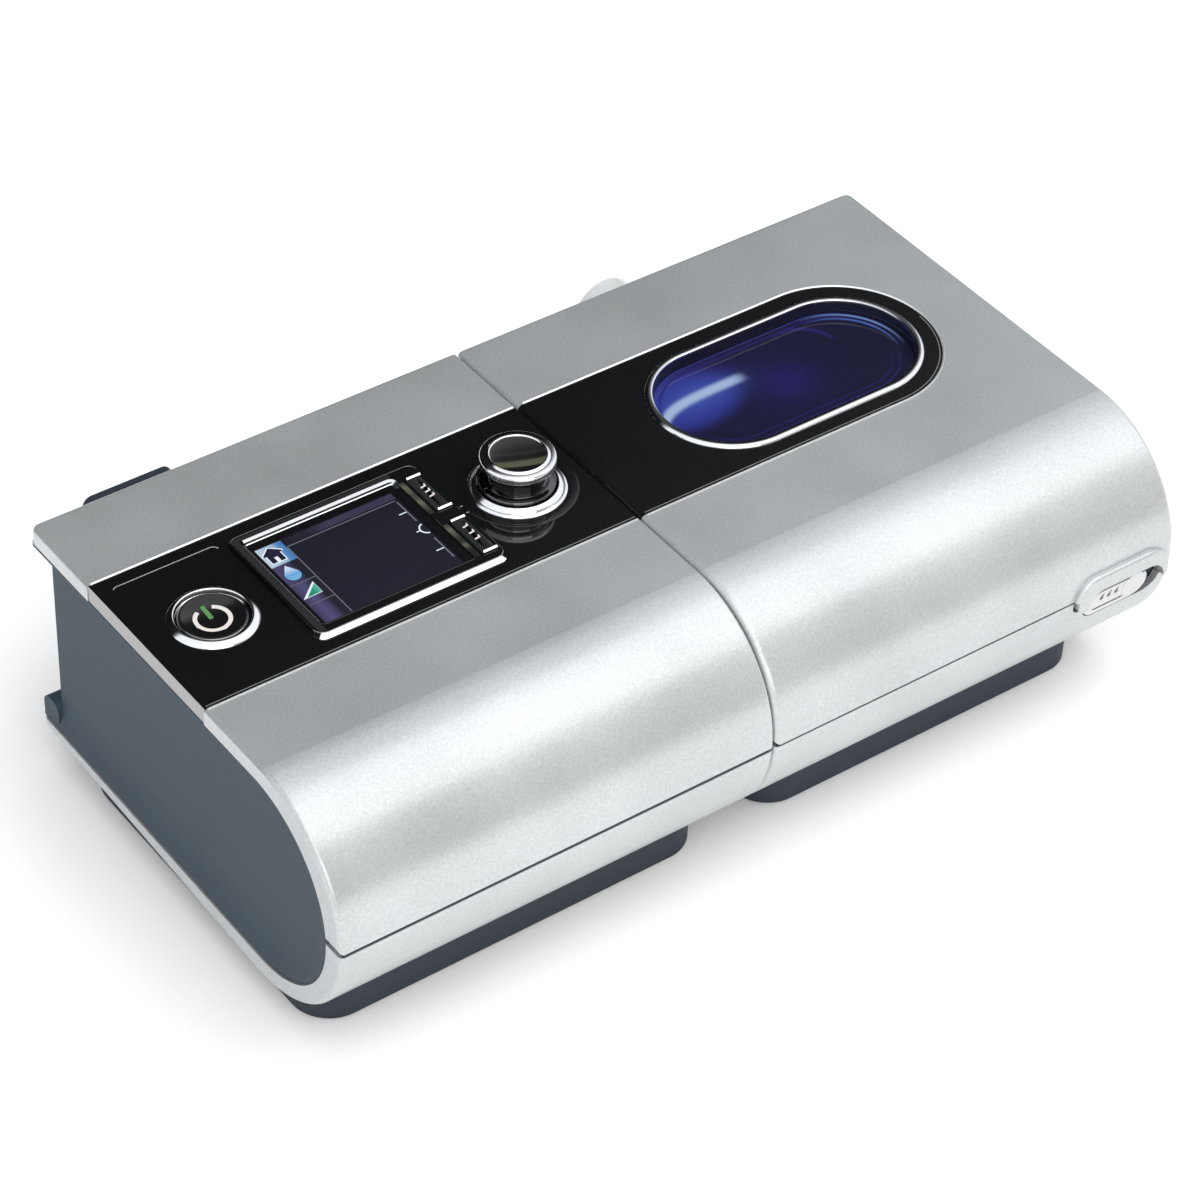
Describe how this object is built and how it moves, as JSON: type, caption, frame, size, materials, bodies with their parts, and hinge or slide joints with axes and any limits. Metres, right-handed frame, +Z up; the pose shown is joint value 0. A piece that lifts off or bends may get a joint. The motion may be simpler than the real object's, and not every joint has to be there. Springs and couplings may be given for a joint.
{
  "type": "cpap machine",
  "caption": "Bedside breathing-therapy machine: flow generator with screen, button, keys and push dial, docked to a heated humidifier with a hinged windowed lid.",
  "frame": {"origin": "centre of the whole width and depth, on the table under the rubber feet", "axes": "+X from the flow generator to the humidifier, +Y from the front to the rear with the air outlet, +Z up"},
  "size_m": [0.285, 0.1706, 0.098],
  "materials": {
    "silver_shell": "satin silver paint with a fine metallic grain",
    "slate_chassis": "fine matt slate blue",
    "slate_foot": "matt dark slate blue",
    "gloss_black": "mirror gloss black",
    "chrome_trim": "bright chrome plating",
    "button_black": "gloss black with a lit power mark",
    "screen_glass": "clear window over a colour screen",
    "screen_module": "lit screen, dark navy with coloured icons",
    "key_black": "gloss black with bright end bars",
    "dial_metal": "polished, dished top",
    "inner_plastic": "plain light grey moulding",
    "dark_plastic": "plain black moulding",
    "board_green": "green solder mask",
    "filter_media": "white filter fibre",
    "rubber_grey": "dark grey rubber",
    "silicone_pale": "pale grey silicone",
    "steel": "plain steel",
    "window_blue": "tinted blue violet window",
    "clear_tub": "clear polycarbonate",
    "tub_blue": "translucent blue",
    "latch_pale": "pale grey gloss with small drop marks",
    "outlet_pale": "pale translucent plastic",
    "cover_slate": "matt slate blue with vents"
  },
  "bodies": {
    "flow_generator": {"flow_top_shell": "silver_shell", "flow_lower_tray": "silver_shell", "flow_chassis": "slate_chassis", "flow_base_foot": "slate_foot", "flow_rubber_feet": "rubber_grey", "flow_screws": "steel", "control_fascia": "gloss_black", "start_ring": "chrome_trim", "display_bezel": "gloss_black", "display_trim": "chrome_trim", "display_window": "screen_glass", "display_module": "screen_module", "display_carrier": "dark_plastic", "dial_collar": "chrome_trim", "dial_encoder": "dark_plastic", "main_board": "board_green", "key_switches": "dark_plastic", "card_slot": "steel", "power_inlet": "dark_plastic", "air_filter": "filter_media", "intake_muffler": "inner_plastic", "blower_housing": "inner_plastic", "blower_mounts": "silicone_pale", "blower_cover": "inner_plastic", "motor_can": "steel", "flow_outlet_tube": "silicone_pale", "port_seal": "silicone_pale", "docking_pins": "steel"},
    "start_button": {"start_button": "button_black"},
    "info_key": {"info_key": "key_black"},
    "setup_key": {"setup_key": "key_black"},
    "dial_push": {"dial_plunger": "steel"},
    "dial": {"dial_knob": "dial_metal", "dial_shaft": "steel"},
    "rotor": {"impeller": "inner_plastic", "motor_shaft": "steel"},
    "memory_card": {"memory_card": "dark_plastic"},
    "filter_cover": {"filter_cover": "cover_slate"},
    "humidifier": {"hum_lower_tray": "silver_shell", "hum_base_foot": "slate_foot", "hum_rubber_feet": "rubber_grey", "hum_screws": "steel", "hum_chassis": "slate_chassis", "hinge_pins": "steel", "latch_backing": "slate_foot", "water_tub": "clear_tub", "tub_base_plate": "steel", "heater_plate": "dark_plastic", "tub_lid": "tub_blue", "inlet_duct": "inner_plastic", "air_outlet": "outlet_pale"},
    "lid": {"hum_lid": "silver_shell", "lid_fascia": "gloss_black", "window_ring": "chrome_trim", "lid_window": "window_blue", "lid_liner": "slate_chassis", "lid_seal": "silicone_pale"},
    "latch": {"lid_latch": "latch_pale"}
  },
  "joints": [
    {"name": "start_button_press", "type": "slide", "parent": "flow_generator", "child": "start_button", "axis": [0, 0, -1], "range_m": [0, 0.0008], "stiffness_N_per_m": 1500, "springref_m": -0.0006},
    {"name": "info_key_press", "type": "slide", "parent": "flow_generator", "child": "info_key", "axis": [0, 0, -1], "range_m": [0, 0.0006], "stiffness_N_per_m": 1500, "springref_m": -0.0006},
    {"name": "setup_key_press", "type": "slide", "parent": "flow_generator", "child": "setup_key", "axis": [0, 0, -1], "range_m": [0, 0.0006], "stiffness_N_per_m": 1500, "springref_m": -0.0006},
    {"name": "dial_press", "type": "slide", "parent": "flow_generator", "child": "dial_push", "axis": [0, 0, -1], "range_m": [0, 0.001], "stiffness_N_per_m": 2000, "springref_m": -0.0006},
    {"name": "dial_turn", "type": "hinge", "parent": "dial_push", "child": "dial", "pos_m": [-0.0229, 0.0093, 0.093], "axis": [0, 0, 1], "continuous": true},
    {"name": "rotor_spin", "type": "hinge", "parent": "flow_generator", "child": "rotor", "pos_m": [-0.0505, -0.0072, 0.04], "axis": [0, 0, 1], "continuous": true},
    {"name": "card_pull", "type": "slide", "parent": "flow_generator", "child": "memory_card", "axis": [0, 1, 0], "range_m": [0, 0.024]},
    {"name": "cover_pull", "type": "slide", "parent": "flow_generator", "child": "filter_cover", "axis": [0, 1, 0], "range_m": [0, 0.012]},
    {"name": "undock", "type": "slide", "parent": "flow_generator", "child": "humidifier", "axis": [1, 0, 0], "range_m": [0, 0.02]},
    {"name": "lid_hinge", "type": "hinge", "parent": "humidifier", "child": "lid", "pos_m": [0.0702, 0.0658, 0.079], "axis": [-1, 0, 0], "range_deg": [0, 95]},
    {"name": "latch_slide", "type": "slide", "parent": "humidifier", "child": "latch", "axis": [1, 0, 0], "range_m": [0, 0.0045], "stiffness_N_per_m": 300, "springref_m": -0.003}
  ]
}
